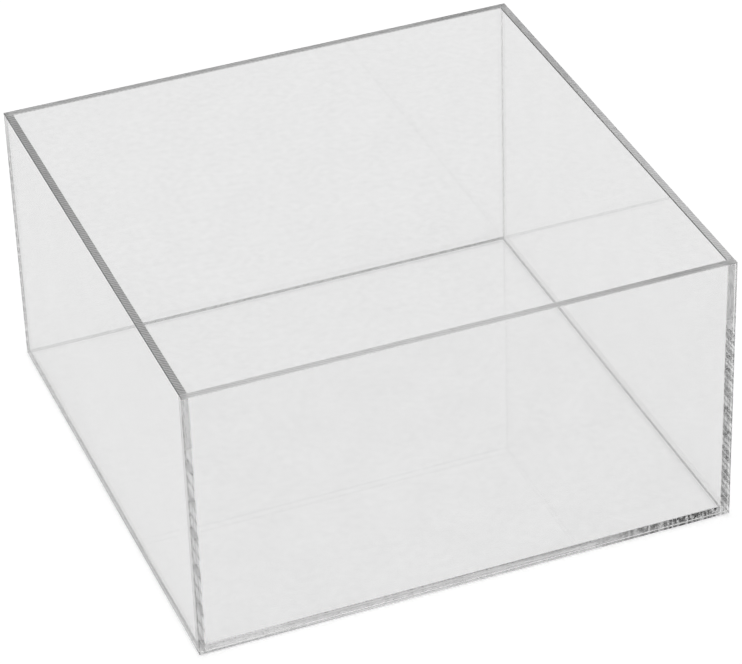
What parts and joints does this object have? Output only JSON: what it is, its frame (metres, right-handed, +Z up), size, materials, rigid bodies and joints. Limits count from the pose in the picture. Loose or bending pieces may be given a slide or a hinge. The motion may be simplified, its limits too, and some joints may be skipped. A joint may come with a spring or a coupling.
{
  "type": "open acrylic box",
  "caption": "Square open-topped tray-height box of clear acrylic sheet with butted, cemented panels, for storing or displaying things.",
  "frame": {"origin": "centre of the underside, on the surface that the box stands on", "axes": "+Z up through the open top, the front panel faces -Y, +X to the right as seen from the front"},
  "size_m": [0.203, 0.203, 0.108],
  "materials": {
    "acrylic": "gloss",
    "cement": "gloss"
  },
  "bodies": {
    "root": {"base_panel": "acrylic", "front_panel": "acrylic", "back_panel": "acrylic", "left_panel": "acrylic", "right_panel": "acrylic", "cement_front_left": "cement", "cement_front_right": "cement", "cement_back_left": "cement", "cement_back_right": "cement", "cement_base_front": "cement", "cement_base_back": "cement", "cement_base_left": "cement", "cement_base_right": "cement"}
  },
  "joints": []
}
